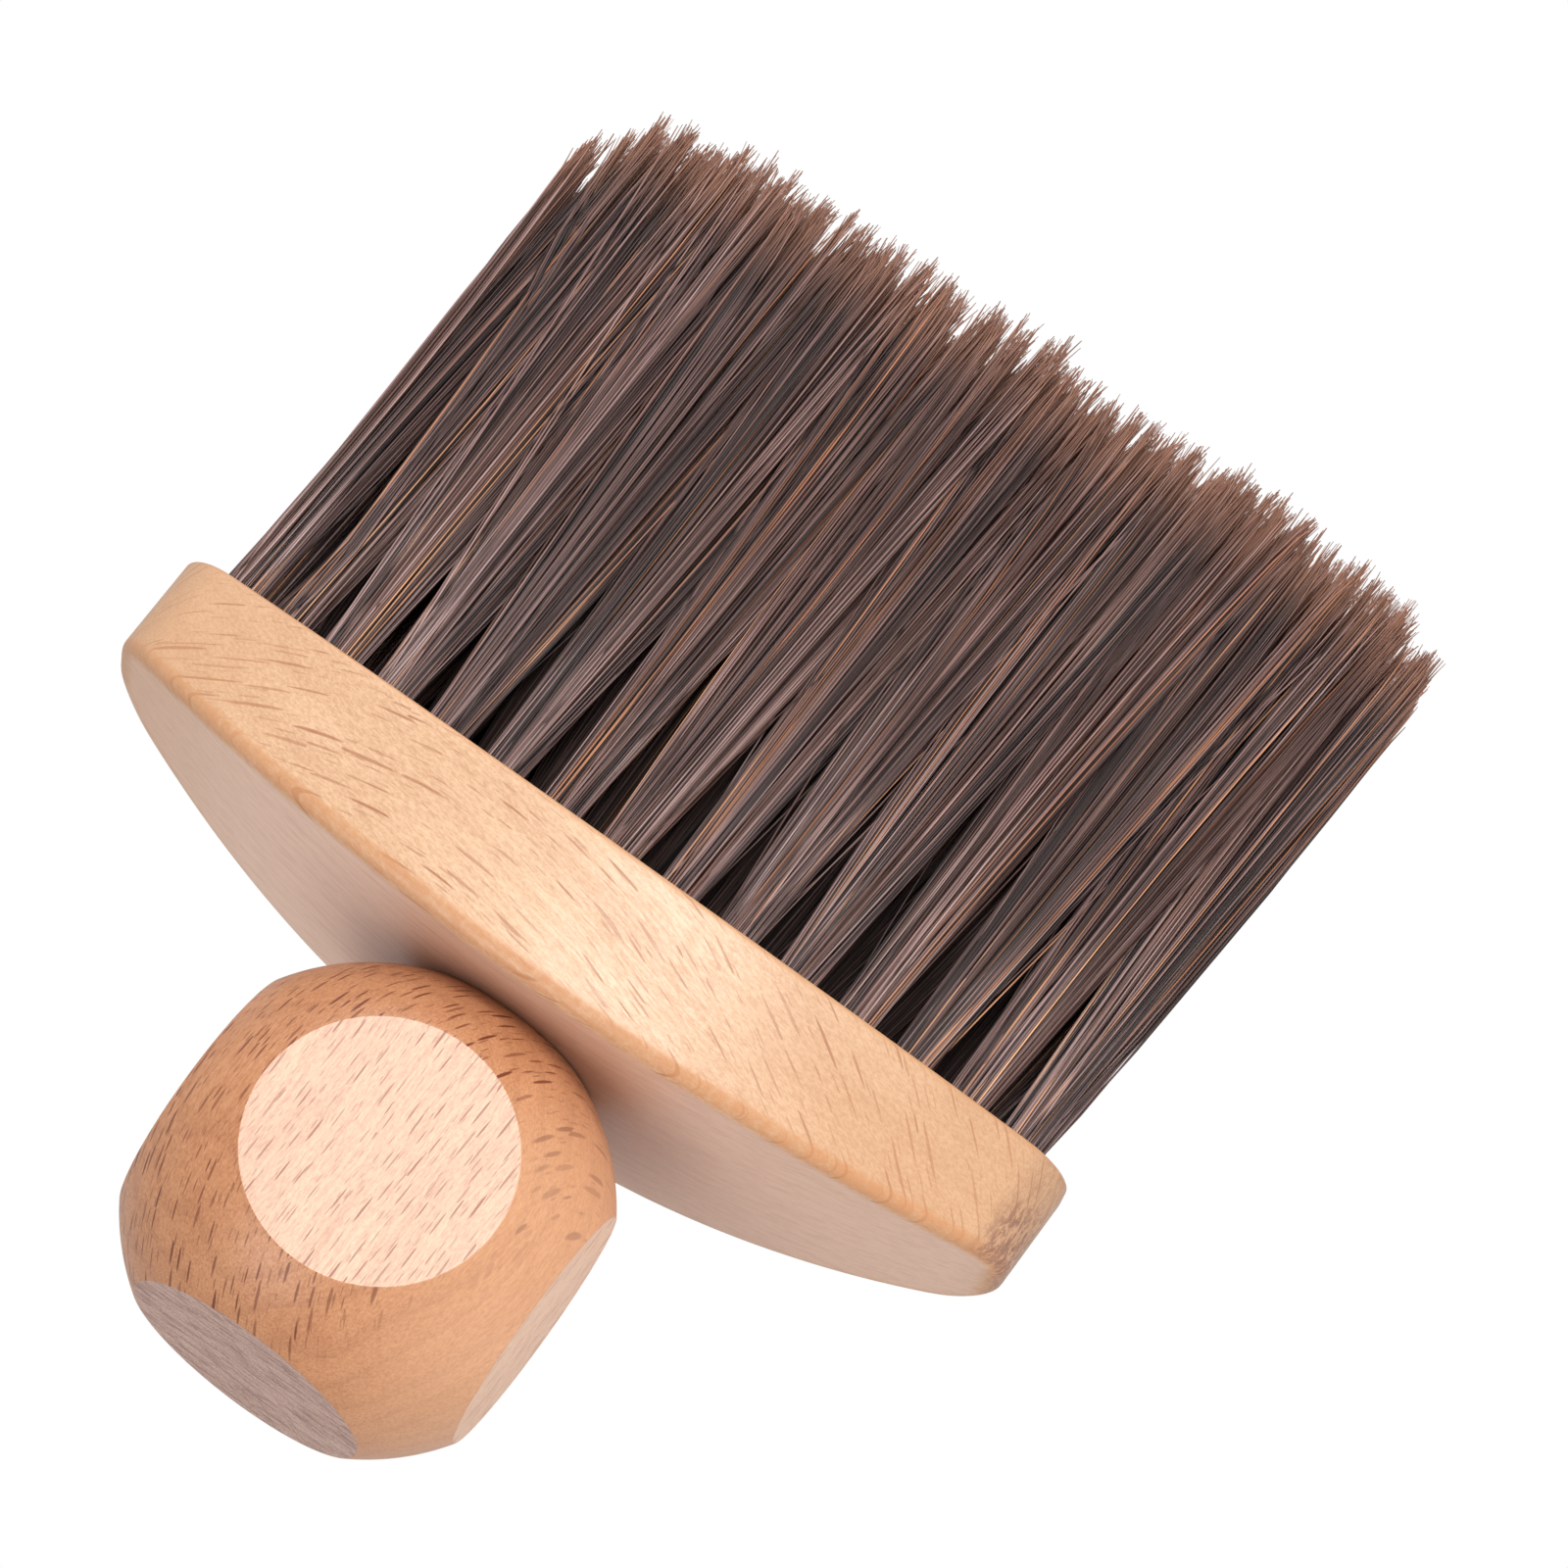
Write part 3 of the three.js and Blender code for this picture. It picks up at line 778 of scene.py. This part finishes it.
def make_head(material, tufts):
    stations, layers = head_stations(), head_layers()
    across = np.sin(np.linspace(-math.pi / 2, math.pi / 2, 17))
    used, quads, shape = lattice_shell(len(stations) - 1, len(across) - 1, len(layers) - 1)
    i, j, k = np.unravel_index(used, shape)
    x, share, height, inset = stations[i], *layers[k].T
    z = knob_side_z(x) * (1 - share) + bristle_side_z(x) * share + height
    y = across[j] * (head_half_depth(x) - inset)
    points = np.c_[x * (1 - inset / HEAD_HALF_LENGTH), y, z]
    mesh = quad_mesh("beech_head", points, quads)
    piece = link_mesh("beech_head", mesh, [material], ["head_block"])
    holes = [
        (root.x, root.y, root.z - TUFT_END_GAP, root.z + TUFT_HOLE_DEPTH + CUT_PAST, TUFT_HOLE_RADIUS)
        for root, _ in tufts.values()
    ]
    dowel_top = DOWEL_HIGH.z + DOWEL_GAP
    holes.append((0, 0, HEAD_BOTTOM_Z - CUT_PAST, dowel_top, DOWEL_HOLE_RADIUS))
    drill(piece, holes)
    mesh = piece.data
    mesh.name = "beech_head"
    mesh.shade_smooth()
    mesh.set_sharp_from_angle(angle=math.radians(40))
    # How far each point is, over the surface, from the knob side's edge and the bristle side's rim
    x, y, z = vertex_array(mesh).T
    x = np.clip(x, -HEAD_HALF_LENGTH, HEAD_HALF_LENGTH)
    inset = np.maximum(head_half_depth(x) - np.abs(y), 0)
    inset = np.minimum(inset, HEAD_HALF_LENGTH - np.abs(x))
    float_attribute(mesh, "wrap_mm", (z - knob_side_z(x) - inset) / MM)
    float_attribute(mesh, "rim_mm", (bristle_side_z(x) - z + inset) / MM)
    return piece


# ------------------------------------------------------------------ dowel and anchors


def make_dowel(material):
    """A fluted dowel, so that glue can rise past it."""
    flutes, per_flute = 20, 6
    flute_depth = 0.18 * MM
    plain_end = 2 * MM
    around = flutes * per_flute
    turn = np.linspace(0, 2 * math.pi, around, endpoint=False)
    groove = flute_depth * (0.5 - 0.5 * np.cos(turn * flutes)) ** 3
    radius = DOWEL_HIGH.x
    length = DOWEL_HIGH.z - DOWEL_LOW.z
    chamfer = 0.8 * MM
    heights = [0, 0.25 * chamfer, chamfer, 1.3 * chamfer]
    heights += list(np.linspace(plain_end, length - plain_end, 12))
    heights += [length - 1.3 * chamfer, length - chamfer, length - 0.25 * chamfer, length]
    rings = []
    for height in heights:
        cut = max(chamfer - height, height - (length - chamfer), 0)
        ring = radius - groove - cut
        level = np.full(around, DOWEL_LOW.z + height)
        rings.append(np.c_[ring * np.cos(turn), ring * np.sin(turn), level])
    points = np.concatenate(rings)
    mesh = bpy.data.meshes.new("fluted_dowel")
    faces = []
    for level in range(len(heights) - 1):
        for j in range(around):
            k = (j + 1) % around
            low, high = level * around, (level + 1) * around
            faces.append((low + j, low + k, high + k, high + j))
    faces.append(tuple(range(around))[::-1])
    faces.append(tuple((len(heights) - 1) * around + j for j in range(around)))
    mesh.from_pydata([tuple(p) for p in points], [], faces)
    mesh.shade_smooth()
    mesh.set_sharp_from_angle(angle=math.radians(35))
    return link_mesh("fluted_dowel", mesh, [material], ["joining_dowel"])


def make_anchors(material, tufts):
    """One short flat wire across each hole. Its ends are cut to a point and bite into the wood."""
    half_length, half_height, half_thick = 2.9 * MM, 0.95 * MM, 0.17 * MM
    pointed_from, point_share = 0.8, 0.85  # of the half length, and of the height it takes off
    bulge, droop = 0.12 * MM, 0.35 * MM  # of the middle to one side, and of the two ends
    above_root = 1.2 * MM
    slant = 38  # degrees off the head's long axis, every other one the other way
    used, quads, shape = lattice_shell(10, 2, 4)
    i, j, k = np.unravel_index(used, shape)
    along, across, up = i / 5 - 1, j - 1.0, k / 2 - 1
    point = 1 - point_share * np.maximum(np.abs(along) - pointed_from, 0) / (1 - pointed_from)
    shell = np.c_[
        along * half_length,
        across * half_thick * np.sqrt(1 - 0.3 * up**2) + bulge * (1 - along**2),
        up * half_height * point - droop * along**2,
    ]
    points, faces = [], []
    for number, (root, _) in enumerate(tufts.values()):
        turn = math.radians(slant if number % 2 else -slant)
        c, s = math.cos(turn), math.sin(turn)
        x, y, z = shell.T
        spot = np.c_[x * c - y * s, x * s + y * c, z]
        faces.append(quads + len(points) * len(shell))
        points.append(spot + (root.x, root.y, root.z + above_root))
    mesh = quad_mesh("tuft_anchors", np.concatenate(points), np.concatenate(faces))
    mesh.set_sharp_from_angle(angle=math.radians(50))
    return link_mesh("tuft_anchors", mesh, [material])


# ------------------------------------------------------------------ tufts


def tuft_places():
    """Name of each tuft, with the middle of its lowest and of its highest ring in the frame."""
    places = {}
    for name in sorted(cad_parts):
        if not name.startswith("tuft_"):
            continue
        points = vertex_array(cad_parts[name].data)
        low, high = points[:, 2].min(), points[:, 2].max()
        root = points[points[:, 2] < low + 1e-6].mean(axis=0)
        tip = points[points[:, 2] > high - 1e-6].mean(axis=0)
        places[name.removeprefix("tuft_")] = (Vector(root), Vector(tip))
    return places


def keep_in(x, share, loose, root_x, row):
    """Holds filaments in at the brush's two ends and out of the parting, at a share of the way up."""
    left = -EDGE_AT_ROOT + (LEFT_TIP_LIMIT + EDGE_AT_ROOT) * share - loose
    left += EDGE_HOLLOW * math.sin(math.pi * share)
    right = EDGE_AT_ROOT + (RIGHT_TIP_LIMIT - EDGE_AT_ROOT) * share + loose
    x = np.clip(x, left, right)
    if row == "back":
        return x
    closing = 1 - share / PARTING_TOP
    if closing < 0:
        closing *= PARTING_RELEASE
    half = PARTING_HALF_WIDTH * min(share / PARTING_ROOT, closing) - loose
    if root_x < PARTING_X:
        return np.minimum(x, PARTING_X - half)
    return np.maximum(x, PARTING_X + half)


def filament_lines(root, tip, row, random):
    """One tuft's filaments.

    Gives an array of filament, point and x, y, z, each point's share of the way up from the mouth
    of the hole, and the number of the lock that each filament is in.
    """
    count = FILAMENTS_PER_TUFT
    mouth = root.z + TUFT_HOLE_DEPTH - TUFT_END_GAP

    # Start in the hole and end at the tip
    angle = random.uniform(0, 2 * math.pi, count)
    distance = random.uniform(0, 1, count) ** BUNDLE_POWER
    unit = np.c_[np.cos(angle), np.sin(angle)] * distance[:, None]
    start = np.array(root.xy) + unit * ROOT_BUNDLE_RADIUS
    fan = unit * (FAN_HALF_WIDTH, FAN_HALF_DEPTH) + random.normal(0, FAN_SPREAD, (count, 2))
    crossing = random.uniform(0, 1, count) < random.uniform(*CROSSING_SHARE)
    fan[crossing, 0] += random.normal(0, CROSSING_SPREAD, crossing.sum())
    end = np.array(tip.xy) + fan + random.normal(0, TUFT_SPREAD, 2)
    past_right = np.maximum(end[:, 0] - RIGHT_TIP_LIMIT, 0)
    past_left = np.maximum(LEFT_TIP_LIMIT - end[:, 0], 0)
    fold = random.uniform(*FOLD, count)
    end[:, 0] += fold * (past_left - past_right)

    # Locks
    leaders = random.choice(count, LOCKS_PER_TUFT, replace=False)
    gap = np.linalg.norm((end[:, None] - end[leaders]) * (1.0, LOCK_DEPTH_WEIGHT), axis=2)
    lock = gap.argmin(axis=1)
    to_leader_start = start[leaders][lock] - start
    to_leader_end = end[leaders][lock] - end
    own_gap = np.maximum(gap[np.arange(count), lock], LEAST_GAP)
    to_leader_end *= np.minimum(1, CLING_REACH / own_gap)[:, None]
    cling = random.uniform(*CLING, count)[:, None]
    tip_cling = random.uniform(*TIP_CLING, count)[:, None]

    # Heights of the tips
    lock_height = random.normal(*LOCK_HEIGHT, LOCKS_PER_TUFT)[lock]
    uneven = random.normal(0, TIP_UNEVENNESS, count) - random.exponential(TIP_WEAR, count)
    shorter = own_gap * FAR_FROM_LEADER_SHORTER
    near_left = np.maximum(LEFT_CORNER_X - end[:, 0], 0) * LEFT_CORNER_SLOPE
    near_right = np.maximum(end[:, 0] - RIGHT_CORNER_X, 0) * RIGHT_CORNER_SLOPE
    tuft_height = random.normal(0, TUFT_HEIGHT_SPREAD)
    top = tip.z + TIP_SLOPE * end[:, 0] + tuft_height + lock_height + uneven
    top = top - shorter - near_left - near_right

    # Bends
    bow = random.normal(0, FILAMENT_BOW, (count, 2))
    bow = bow + random.normal(0, LOCK_BOW, (LOCKS_PER_TUFT, 2))[lock]
    stray = random.uniform(0, 1, count) < STRAY_SHARE
    bow[stray] += random.normal(0, 1.0, (stray.sum(), 2)) * STRAY_BOW
    loose = random.uniform(*LOOSE, count)
    flick = random.normal(0, TIP_FLICK, (count, 2))

    shares = np.array(FILAMENT_RINGS)
    lines = np.zeros((count, len(shares), 3))
    lines[:, 0] = np.c_[start, np.full(count, root.z)]
    for i, share in list(enumerate(shares))[1:]:
        if row == "front":
            opened = share**FRONT_OPENING_POWER
        else:
            opened = 1 - (1 - share) ** INNER_OPENING_POWER
        to_leader = to_leader_start * (1 - share) + to_leader_end * share
        place = start + (end - start) * opened
        place += cling * to_leader * min(share * CLING_RISE, 1)
        place += tip_cling * (1 - cling) * to_leader_end * share**TIP_CLING_POWER
        place += bow * math.sin(math.pi * share) + flick * share**TIP_FLICK_POWER
        place[:, 0] = keep_in(place[:, 0], share, loose, root.x, row)
        lines[:, i] = np.c_[place, mouth + (top - mouth) * share]
    return lines, shares, lock


def make_tuft(number, name, root, tip, material):
    """One tuft as one piece: a closed thin prism for each filament."""
    random = np.random.default_rng(SEED + number)
    row = name.rpartition("_")[0]
    lines, shares, lock = filament_lines(root, tip, row, random)
    count, rings, _ = lines.shape
    shade = random.uniform(0, 1, count)
    lock_shade = random.uniform(0, 1, LOCKS_PER_TUFT)[lock]
    brown = np.clip(shade + (lock_shade - 0.5) * LOCK_SHADE_SPREAD, 0, BROWN_UP_TO)
    shade = np.where(shade < COPPER_FROM, brown, shade)
    thick = FILAMENT_RADIUS * random.uniform(*FILAMENT_THICKNESS, count)
    thick[shade > COPPER_FROM] *= COPPER_THINNESS
    taper = np.interp(shares, *FILAMENT_TAPER)
    spin = random.uniform(0, 2 * math.pi, count)
    turn = spin[:, None] + np.linspace(0, 2 * math.pi, FILAMENT_SIDES, endpoint=False)
    circle = np.stack([np.cos(turn), np.sin(turn), np.zeros_like(turn)], axis=2)
    radius = thick[:, None] * taper
    points = lines[:, :, None, :] + circle[:, None, :, :] * radius[:, :, None, None]
    index = np.arange(count * rings * FILAMENT_SIDES).reshape(count, rings, FILAMENT_SIDES)
    nxt = np.roll(index, -1, axis=2)
    sides = np.stack([index[:, :-1], nxt[:, :-1], nxt[:, 1:], index[:, 1:]], axis=3)
    quads = np.concatenate([sides.reshape(-1, 4), index[:, 0, ::-1], index[:, -1]])
    title = "filaments_" + name
    mesh = quad_mesh(title, points.reshape(-1, 3), quads)
    each = rings * FILAMENT_SIDES  # points of one filament
    inner = 0.0 if row in ("front", "back") else 1.0
    float_attribute(mesh, "strand", np.repeat(shade, each))
    float_attribute(mesh, "inner", np.full(count * each, inner))
    float_attribute(mesh, "lock", np.repeat(lock_shade, each))
    float_attribute(mesh, "along", np.tile(np.repeat(shares, FILAMENT_SIDES), count))
    return link_mesh(title, mesh, [material], ["tuft_" + name])


# ------------------------------------------------------------------ stage

CENTRE = (CAD_BOX[0] + CAD_BOX[1]) / 2

# The main view is from a little below the standing brush, with the picture turned
CAMERA_AZIMUTH = 6.91
CAMERA_ELEVATION = -19.75
CAMERA_ROLL = 37.55
CAMERA_DISTANCE = 0.72
CAMERA_AIM = Vector((7.6, -4.4, 82.1)) * MM
CAMERA_LENS = 160.6

# Lamps round the middle of the brush: azimuth, elevation, distance, diameter and watts
LAMPS = {
    "key": (3, 16, 1.1, 0.5, 6.95),
    "side": (98, -12, 1.2, 0.8, 0.9),
    "low": (-24, -55, 1.2, 0.8, 4.2),
    "top": (-50, 50, 1.1, 0.8, 3.6),
}

# A lamp for the knob's far side
KNOB_LAMP_AIM = Vector((16, -8, 25)) * MM
KNOB_LAMP_AZIMUTH, KNOB_LAMP_ELEVATION = 80, 3
KNOB_LAMP_DISTANCE = 0.8
KNOB_LAMP_WATTS = 13.5
KNOB_LAMP_RADIUS = 0.03
KNOB_LAMP_CONE = 7

FILL_STRENGTH = 0.6
FLOOR_HALF_WIDTH = 3.0
FLOOR_DROP = 0.02 * MM


def outward(azimuth, elevation):
    """The direction that is that many degrees round from the front and above level."""
    a, e = math.radians(azimuth), math.radians(elevation)
    return Vector((math.sin(a) * math.cos(e), -math.cos(a) * math.cos(e), math.sin(e)))


def standing_off(aim, back, distance):
    """Matrix of a camera or lamp that points at aim, from a distance in the direction back."""
    facing = back.to_track_quat("Z", "Y").to_matrix().to_4x4()
    return Matrix.Translation(aim + back * distance) @ facing


def make_camera():
    data = bpy.data.cameras.new("camera")
    data.lens = CAMERA_LENS
    data.sensor_width = 36
    data.clip_start = 0.05
    camera = bpy.data.objects.new("camera", data)
    bpy.context.scene.collection.objects.link(camera)
    back = outward(CAMERA_AZIMUTH, CAMERA_ELEVATION)
    roll = Matrix.Rotation(math.radians(CAMERA_ROLL), 4, "Z")
    camera.matrix_world = standing_off(CAMERA_AIM, back, CAMERA_DISTANCE) @ roll
    bpy.context.scene.camera = camera


def make_light(name, azimuth, elevation, distance, size, watts):
    data = bpy.data.lights.new(name, "AREA")
    data.shape = "DISK"
    data.size = size
    data.energy = watts
    light = bpy.data.objects.new(name, data)
    bpy.context.scene.collection.objects.link(light)
    light.matrix_world = standing_off(CENTRE, outward(azimuth, elevation), distance)


def make_knob_light():
    """A small lamp with a narrow cone. It fills in the knob's far side only, with no highlight."""
    data = bpy.data.lights.new("knob_fill", "SPOT")
    data.energy = KNOB_LAMP_WATTS
    data.shadow_soft_size = KNOB_LAMP_RADIUS
    data.spot_size = math.radians(KNOB_LAMP_CONE)
    data.spot_blend = 1.0
    light = bpy.data.objects.new("knob_fill", data)
    light.visible_glossy = False
    bpy.context.scene.collection.objects.link(light)
    back = outward(KNOB_LAMP_AZIMUTH, KNOB_LAMP_ELEVATION)
    light.matrix_world = standing_off(KNOB_LAMP_AIM, back, KNOB_LAMP_DISTANCE)


def make_world():
    """White all round where the camera sees it, and a softer fill for the brush."""
    world = bpy.data.worlds.new("studio")
    bpy.context.scene.world = world
    world.use_nodes = True
    nodes, links = world.node_tree.nodes, world.node_tree.links
    nodes.clear()
    seen = nodes.new("ShaderNodeBackground")
    seen.inputs["Color"].default_value = (1, 1, 1, 1)
    seen.inputs["Strength"].default_value = 1.0
    fill = nodes.new("ShaderNodeBackground")
    fill.inputs["Color"].default_value = (1, 1, 1, 1)
    fill.inputs["Strength"].default_value = FILL_STRENGTH
    path = nodes.new("ShaderNodeLightPath")
    mix = nodes.new("ShaderNodeMixShader")
    output = nodes.new("ShaderNodeOutputWorld")
    links.new(path.outputs["Is Camera Ray"], mix.inputs[0])
    links.new(fill.outputs[0], mix.inputs[1])
    links.new(seen.outputs[0], mix.inputs[2])
    links.new(mix.outputs[0], output.inputs[0])


def make_floor():
    """A pale floor under the knob. The main camera is below it, so it shows from above only."""
    look = Shader("pale_floor")
    grey = look.node("BsdfDiffuse", {"Color": (0.8, 0.8, 0.8, 1)})
    clear = look.node("BsdfTransparent", {})
    side = look.node("NewGeometry", {}).outputs["Backfacing"]
    mix = look.node("MixShader", {0: side, 1: grey.outputs[0], 2: clear.outputs[0]})
    output = look.nodes.new("ShaderNodeOutputMaterial")
    look.links.new(mix.outputs[0], output.inputs[0])
    half = FLOOR_HALF_WIDTH
    mesh = bpy.data.meshes.new("floor")
    corners = [(-half, -half, 0), (half, -half, 0), (half, half, 0), (-half, half, 0)]
    mesh.from_pydata(corners, [], [(0, 1, 2, 3)])
    mesh.materials.append(look.material)
    floor = bpy.data.objects.new("floor", mesh)
    bpy.context.scene.collection.objects.link(floor)
    floor.location.z = CAD_BOX[0].z - FLOOR_DROP
    floor.visible_diffuse = False
    floor.visible_glossy = False
    floor.visible_transmission = False
    floor.visible_shadow = False


# ------------------------------------------------------------------ assembly

bpy.context.scene.view_settings.view_transform = "Standard"
make_camera()
make_world()
make_floor()
for lamp, settings in LAMPS.items():
    make_light(lamp, *settings)
make_knob_light()

places = tuft_places()
make_knob([knob_ball_material(), knob_flat_material(), knob_end_material()])
make_head(head_material(), places)
make_dowel(dowel_material())
make_anchors(wire_material(), places)
brown = filament_material()
for order, (tuft_name, (tuft_root, tuft_tip)) in enumerate(places.items()):
    make_tuft(order, tuft_name, tuft_root, tuft_tip, brown)
